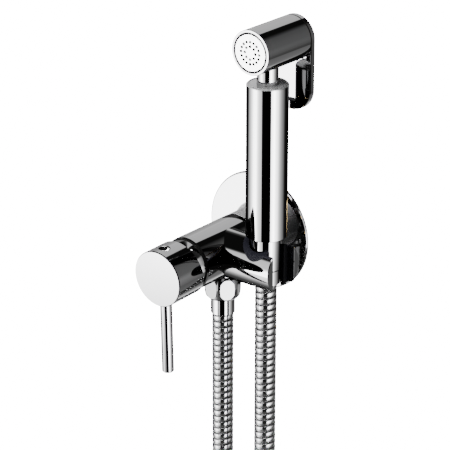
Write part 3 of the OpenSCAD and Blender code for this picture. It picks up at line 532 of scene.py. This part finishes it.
# %% [markdown]
# ## The studio
# Polished chrome has no colour of its own: it shows the room. A catalogue photographer therefore
# builds the room for the reflections, with white sheets for the bright bands and black flags for the
# dark ones. Real cards would throw shadows and show up in other views, so here the world itself is the
# room: its brightness depends on the direction, as an azimuth round the object and a height.

# %% Bands of the room
# A stop is an azimuth in degrees from the camera's side, positive to the right, and a picture level
LOW_BAND = [(-180, 20), (-132, 10), (-126, 10), (-118, 160), (-96, 215), (-80, 240), (-62, 242),
            (-46, 215), (-31, 195), (-28, 2), (17, 2), (20, 235), (38, 245), (60, 225), (92, 130),
            (116, 8), (180, 8)]
MID_BAND = [(-180, 180), (-168, 120), (-118, 60), (-100, 175), (-80, 185), (-50, 215), (-34, 235),
            (-28, 10), (20, 10), (28, 230), (70, 150), (90, 92), (110, 70), (140, 55), (148, 40),
            (151, 172), (180, 172)]
HIGH_BAND = [(-180, 150), (-172, 60), (-164, 10), (-60, 10), (-20, 20), (40, 20), (90, 40),
             (113, 56), (123, 24), (126, 8), (147, 8), (150, 168), (180, 172)]
DOWN_BAND = [(-180, 40), (-150, 50), (-127, 70), (-105, 150), (-93, 200), (-75, 225), (-60, 190),
             (-40, 110), (-20, 80), (55, 72), (97, 83), (128, 110), (136, 150), (143, 186), (162, 186),
             (170, 50), (180, 30)]
WHITE_LEVEL = 255
print("stops in the bands:", len(LOW_BAND), len(MID_BAND), len(HIGH_BAND), len(DOWN_BAND))

# %% Direction of a reflection
FRONT = (math.sin(VIEW_YAW), -math.cos(VIEW_YAW), 0.0)
RIGHT = (math.cos(VIEW_YAW), math.sin(VIEW_YAW), 0.0)

world = bpy.data.worlds.new("studio_room")
world.use_nodes = True
world.node_tree.nodes.clear()
room = Flow(world.node_tree)
direction = room.node("ShaderNodeTexCoord", out=0)


def along(axis):
    return room.vector_math("DOT_PRODUCT", direction, axis, out=1)


azimuth = room.math("ARCTAN2", along(RIGHT), along(FRONT)) / (2 * math.pi) + 0.5
height = along((0, 0, 1))


def band(stops):
    """Levels of one band, 0 to 1, by the azimuth of the direction."""
    places = [((degrees + 180) / 360, level / WHITE_LEVEL) for degrees, level in stops]
    return room.node("ShaderNodeValToRGB", {"stops": places}, {"Fac": azimuth})


print("the camera's side of the room:", [round(v, 3) for v in FRONT])

# %% Levels of the whole room
LOW_TO_MID, MID_TO_HIGH, FLOOR_EDGE = (-0.15, 0.12), (0.50, 0.62), (-0.47, -0.42)
BEHIND, BEHIND_SHIFT, FLOOR_TILT = (0.90, 0.97), 0.27, 0.06

# Right behind the object the middle band reaches lower down, and it whitens the upper edges of barrels
behind = (0 - along(FRONT)).between(*BEHIND)
lower = room.mixed((height + behind * BEHIND_SHIFT).between(*LOW_TO_MID), band(LOW_BAND), band(MID_BAND))
upper = room.mixed(height.between(*MID_TO_HIGH), lower, band(HIGH_BAND))
# The floor begins a little lower in front of the object than behind it
floor_height = height + along(FRONT) * FLOOR_TILT
levels = room.mixed(floor_height.between(*FLOOR_EDGE), band(DOWN_BAND), upper)
print("low, middle, high and floor bands joined")

# %% Light of the room
# The film look turns light into a picture level. This table turns it back: level, exposure in stops.
FILM = [(1, -10), (7, -8), (15, -7), (27, -6), (43, -5), (67, -4), (98, -3), (137, -2), (171, -1),
        (197, 0), (218, 1), (234, 2), (245, 3), (255, 4)]
DARKEST, STOP_RANGE, EXPOSURE_TRIM = -10, 14, 0.15
BACKDROP_LIGHT = 20.0
# What one piece shows of another piece's reflections is nearly black in the photograph
NEAR_DEPTH, FAR_LIGHT = 2.5, 0.05

film = [(level / WHITE_LEVEL, (exposure - DARKEST) / STOP_RANGE) for level, exposure in FILM]
stops = room.node("ShaderNodeValToRGB", {"stops": film}, {"Fac": levels}) * STOP_RANGE
light = room.math("POWER", 2.0, stops + (DARKEST + EXPOSURE_TRIM))
near = room.math("LESS_THAN", room.node("ShaderNodeLightPath", out="Ray Depth"), NEAR_DEPTH)
light = light * (near * (1 - FAR_LIGHT) + FAR_LIGHT)
seen = room.node("ShaderNodeLightPath", out="Is Camera Ray")
shown = light + seen * (BACKDROP_LIGHT - light)
background = room.node("ShaderNodeBackground", None, {"Color": shown, "Strength": 1.0})
room.node("ShaderNodeOutputWorld", None, {"Surface": background})
bpy.context.scene.world = world
print("film look:", len(FILM), "steps over", STOP_RANGE, "stops")

# %% [markdown]
# ## Floor and wall
# The object hangs on a wall, and its in-wall part is behind that wall. A solid wall would hide that
# part in every view from behind, so the wall is plain white from the front and clear from the back.
# The floor is a white sheet below the loop of the hose. Neither shows in the chrome, whose room is the
# world.

# %% Floor and wall
FLOOR_Z, SHEET_SIZE = -0.60, 12


def backdrop(name, place, turn, one_sided):
    """White sheet that lights nothing; a one-sided one is clear from behind."""
    deselect()
    bpy.ops.mesh.primitive_plane_add(size=SHEET_SIZE, location=place, rotation=turn)
    sheet = bpy.context.object
    bpy.ops.object.transform_apply(location=True, rotation=True, scale=True)
    sheet.name = name
    material = bpy.data.materials.new(name)
    material.use_nodes = True
    material.node_tree.nodes.clear()
    paint = Flow(material.node_tree)
    bright = paint.node("ShaderNodeEmission", None, {"Color": (1, 1, 1, 1), "Strength": BACKDROP_LIGHT})
    if one_sided:
        back = paint.node("ShaderNodeNewGeometry", out="Backfacing")
        clear = paint.node("ShaderNodeBsdfTransparent")
        bright = paint.node("ShaderNodeMixShader", None, {0: back, 1: bright, 2: clear})
    paint.node("ShaderNodeOutputMaterial", None, {"Surface": bright})
    sheet.data.materials.append(material)
    sheet.visible_glossy = sheet.visible_diffuse = sheet.visible_shadow = False
    sheet.visible_transmission = False


backdrop("studio_floor", (0, 0, FLOOR_Z), (0, 0, 0), False)
backdrop("studio_wall", (0, 0, 0), (math.pi / 2, 0, 0), True)
print("floor and wall placed")

# %% [markdown]
# ## Soft lights
# Chrome needs no lamp, but the white face, the brass and the rubber do. Bare lamps would print small
# hard spots on the chrome, so three wide softboxes light the matt pieces and stay out of reflections.

# %% Soft lights
SOFTBOX_WIDTH = 0.9
SOFTBOXES = [
    ("front_softbox", (-0.6, -1.6, 0.9), (0, 0, 0.05), 320),
    ("top_softbox", (0.3, -0.3, 1.6), (0, 0, 0.05), 40),
    ("rear_softbox", (-0.4, 1.5, 0.7), (0, 0.03, 0), 120),
]

for name, place, aim, watts in SOFTBOXES:
    lamp = bpy.data.lights.new(name, "AREA")
    lamp.shape, lamp.size, lamp.energy = "DISK", SOFTBOX_WIDTH, watts
    softbox = bpy.data.objects.new(name, lamp)
    softbox.location = place
    softbox.rotation_euler = (Vector(aim) - Vector(place)).to_track_quat("-Z", "Y").to_euler()
    softbox.visible_glossy = False
    bpy.context.scene.collection.objects.link(softbox)
print("softboxes:", len(SOFTBOXES))

# %% [markdown]
# ## Polished chrome
# Chrome plate is a mirror with a cool grey tint. A perfect mirror looks like a computer picture, so the
# finish gets what a real tap has: polishing that leaves the roughness slightly uneven and a faint
# waviness in the surface. An image of scratches could do the same, but noise in the piece's own
# coordinates needs no file, has no seams and stays on the piece when it moves.

# %% What every finish uses


def new_finish(name):
    """Empty material and the Flow that fills it."""
    material = bpy.data.materials.new(name)
    material.use_nodes = True
    material.node_tree.nodes.clear()
    return material, Flow(material.node_tree)


def surface(flow, sockets):
    """Principled shader with the given sockets, joined to the material's output."""
    shader = flow.node("ShaderNodeBsdfPrincipled", None, sockets)
    flow.node("ShaderNodeOutputMaterial", None, {"Surface": shader})


def place_on_piece(flow):
    """The object's own coordinates, in metres."""
    return flow.node("ShaderNodeTexCoord", out="Object")


def grain(flow, scale, detail):
    """Noise on the piece, about 0 to 1; scale is in waves per metre."""
    return flow.node("ShaderNodeTexNoise", None,
                     {"Vector": place_on_piece(flow), "Scale": scale, "Detail": detail})


def bump(flow, height_map, strength, distance):
    return flow.node("ShaderNodeBump", None,
                     {"Height": height_map, "Strength": strength, "Distance": distance})


print("helpers for finishes ready")

# %% Chrome
# In the photograph the collar is paler on its left side than a mirror would be, so it has a mist there
MIST_EDGE, MIST_METAL = (0.012, 0.020), 0.3
WAVE_DEPTH = 0.00003


def polished(name, tint, rough, metal=1.0, mist=0.0):
    """Polished plate: its tint, its roughness, how metallic it is, and a mist on its left side."""
    material, flow = new_finish(name)
    smears = grain(flow, 38.0, 4.0).between(0.40, 0.75)
    fine = grain(flow, 900.0, 2.0)
    rough = rough + smears * 0.02 + fine * 0.01
    if mist:
        sideways = flow.node("ShaderNodeSeparateXYZ", None, {0: place_on_piece(flow)}, out="X")
        left = 1 - sideways.between(*MIST_EDGE)
        metal = metal - left * (mist * MIST_METAL)
        rough = rough + left * mist
    surface(flow, {
        "Base Color": (*tint, 1), "Metallic": metal, "Roughness": rough,
        "Normal": bump(flow, grain(flow, 26.0, 1.0), 0.05, WAVE_DEPTH),
    })
    return material


finishes = {
    "chrome_plate": polished("chrome_plate", (0.90, 0.90, 0.91), 0.018),
    "misted_chrome": polished("misted_chrome", (0.80, 0.80, 0.81), 0.018, mist=0.34),
    "nut_chrome": polished("nut_chrome", (0.58, 0.58, 0.59), 0.03),
    "satin_chrome": polished("satin_chrome", (0.66, 0.66, 0.67), 0.14, metal=0.9),
}
print("chrome finishes:", sorted(finishes))

# %% [markdown]
# ## Raw brass and steel
# The pieces in the wall and inside are machined and not plated: cast and turned brass, and stainless
# steel. A grey or yellow metal alone looks like plastic foil, so fine tool marks roughen it, and a
# slow noise darkens it where it has tarnished.

# %% Machined metal
TARNISH_SHADE, MARK_DEPTH = 0.62, 0.00002


def turned(name, tint, rough, metal=1.0):
    """Machined brass or steel with fine tool marks and slight tarnish."""
    material, flow = new_finish(name)
    tarnish = grain(flow, 60.0, 5.0).between(0.35, 0.70)
    dull = tuple(c * TARNISH_SHADE for c in tint)
    surface(flow, {
        "Base Color": flow.mixed(tarnish * 0.6, tint, dull),
        "Metallic": metal, "Roughness": rough + tarnish * 0.18,
        "Normal": bump(flow, grain(flow, 1600.0, 2.0), 0.25, MARK_DEPTH),
    })
    return material


finishes["raw_brass"] = turned("raw_brass", (0.78, 0.58, 0.30), 0.36, metal=0.7)
finishes["stainless"] = turned("stainless", (0.62, 0.62, 0.63), 0.28)
print("machined metals added:", len(finishes), "finishes so far")

# %% [markdown]
# ## The hose's strip
# The strip is chromed like the rest but softer, since rolling leaves it less smooth, and between its
# turns the dark inner tube shows. Two materials on chosen faces would meet in a hard edge. One material
# that reads the mesh's own attribute blends from one to the other, and follows the hose when it bends.

# %% Chromed strip with dark grooves
TUBE_TINT, TUBE_ROUGH = (0.012, 0.012, 0.013), 0.4


def wound_strip(name, tint, rough):
    """Chromed strip, with the dark inner tube where the mesh's attribute marks a groove."""
    material, flow = new_finish(name)
    groove = flow.node("ShaderNodeAttribute", {"attribute_name": "groove"}, out="Fac").between(0.25, 0.75)
    smears = grain(flow, 60.0, 4.0).between(0.35, 0.75)
    surface(flow, {
        "Base Color": flow.mixed(groove, tint, TUBE_TINT), "Metallic": 1 - groove,
        "Roughness": rough + smears * 0.05 + groove * TUBE_ROUGH,
        "Normal": bump(flow, grain(flow, 700.0, 2.0), 0.15, MARK_DEPTH),
    })
    return material


finishes["hose_strip"] = wound_strip("hose_strip", (0.84, 0.84, 0.85), 0.15)
print("hose strip added:", len(finishes), "finishes so far")

# %% [markdown]
# ## Plastics and rubber
# Moulded plastic is told from paint by its fine moulding texture and soft gloss. Rubber is darker,
# rougher and slightly dusty on its open faces, so a little pale noise lies over the black. One recipe
# with a few values does for all of them, which keeps them alike where they should be.

# %% Moulded pieces
MOULD_DEPTH, MOULD_GRAIN = 0.00001, 2600.0


def moulded(name, tint, rough, texture=0.3, dust=0.0, shine=0.5):
    """Plastic, rubber or ceramic: texture is its bump, dust its pale share and shine its gloss."""
    material, flow = new_finish(name)
    clouds = grain(flow, 45.0, 4.0).between(0.35, 0.75)
    pale = tuple(c + (1 - c) * dust for c in tint)
    surface(flow, {
        "Base Color": flow.mixed(clouds, tint, pale), "Roughness": rough + clouds * 0.08,
        "Specular IOR Level": shine,
        "Normal": bump(flow, grain(flow, MOULD_GRAIN, 2.0), texture, MOULD_DEPTH),
    })
    return material


finishes |= {
    "white_plastic": moulded("white_plastic", (0.82, 0.82, 0.80), 0.35),
    "spray_white": moulded("spray_white", (0.97, 0.97, 0.97), 0.30),
    "grey_plastic": moulded("grey_plastic", (0.10, 0.10, 0.11), 0.45, dust=0.03),
    "black_plastic": moulded("black_plastic", (0.002, 0.002, 0.003), 0.35, dust=0.001, shine=0.06),
    "black_rubber": moulded("black_rubber", (0.002, 0.002, 0.002), 0.50, 0.6, dust=0.001, shine=0.04),
    "ceramic": moulded("ceramic", (0.86, 0.83, 0.76), 0.22, texture=0.1),
    "foam_seal": moulded("foam_seal", (0.020, 0.020, 0.022), 0.85, texture=1.0, dust=0.03),
}
print("moulded finishes added:", len(finishes), "finishes so far")

# %% [markdown]
# ## The plug over the clamp screw
# The plug in the knob is black, and in the photograph one crescent of light shows on its top. The light
# could be a lamp of its own, but it would also reach the chrome round the plug. So the crescent is a
# painted highlight: a pale patch in the plug's base colour, cut by two radii and one side.

# %% Plug with a painted highlight
# The camera looks into the hole at a slant, so the middle of what it sees there is shifted from the
# plug's own middle. The two radii and the side of the crescent are measured from that shifted middle.
SEEN_MIDDLE_SHIFT, GLINT_RADII = (-1.84, 2.24), (2.15, 3.15)
GLINT_SIDE, GLINT_EDGE = (0.90, -0.44, 0), (1.2, 1.8)
# The pale tint is the colour of the painted highlight on the black plug.
PLUG_BLACK, PAINTED_GLINT_TINT, RING_SOFTNESS = (0.002, 0.002, 0.002), (0.75, 0.75, 0.75), 0.1


def past(distance, edge):
    """1 beyond an edge in millimetres."""
    return distance.between((edge - RING_SOFTNESS) * MM, (edge + RING_SOFTNESS) * MM)


def plug_painted_glint(name, plug):
    """Black plug with a painted highlight: one pale crescent in its base colour."""
    material, flow = new_finish(name)
    middle = sum((Vector(corner) for corner in plug.bound_box), Vector()) / 8
    glint_middle = (middle.x + SEEN_MIDDLE_SHIFT[0] * MM, middle.y + SEEN_MIDDLE_SHIFT[1] * MM, 0)
    level = flow.vector_math("MULTIPLY", place_on_piece(flow), (1, 1, 0))
    offset = flow.vector_math("SUBTRACT", level, glint_middle)
    reach = flow.vector_math("LENGTH", offset, (0, 0, 0), out=1)
    side = flow.vector_math("DOT_PRODUCT", offset, GLINT_SIDE, out=1)
    # Painted highlight: a pale crescent of base colour between two radii, on one side only.
    painted_glint = (past(reach, GLINT_RADII[0]) * (1 - past(reach, GLINT_RADII[1]))
             * side.between(GLINT_EDGE[0] * MM, GLINT_EDGE[1] * MM))
    surface(flow, {
        "Base Color": flow.mixed(painted_glint, PLUG_BLACK, PAINTED_GLINT_TINT), "Roughness": 0.30 + painted_glint * 0.2,
        "Specular IOR Level": 0.05,
        "Normal": bump(flow, grain(flow, MOULD_GRAIN, 2.0), 0.3, MOULD_DEPTH),
    })
    return material


finishes["plug_painted_glint"] = plug_painted_glint("plug_painted_glint", frame["nodes"]["screw_plug"])
print("plug added:", len(finishes), "finishes in all")

# %% [markdown]
# ## Which piece has which finish
# The record names a material for each node, and most nodes take it as it is. Four of them differ in
# the photograph from the plate round them: the cap ring is ground, the collar is misted, the nut is
# darker, and the plug has a painted highlight. The new pieces name their finish here as well.

# %% Dress the pieces
OWN_FINISH = {"handle_top": "satin_chrome", "collar": "misted_chrome", "hex_nut": "nut_chrome",
              "screw_plug": "plug_painted_glint"}
# The black ring round the spray face is painted shade and takes the black rubber finish.
NEW_PIECES = [(hose, "hose_strip"), (liner, "black_plastic"), (nozzles, "black_rubber"),
              (shade_ring, "black_rubber"), (spring, "stainless")]

slot_of = {part["node"]: part["material_slot"] for part in record["subparts"]}
dressed = [(node, OWN_FINISH.get(name, slot_of[name])) for name, node in frame["nodes"].items()]
for piece, finish in dressed + NEW_PIECES:
    piece.data.materials.clear()
    piece.data.materials.append(finishes[finish])
print("finishes:", len(finishes), "on", len(dressed), "nodes and", len(NEW_PIECES), "new pieces")
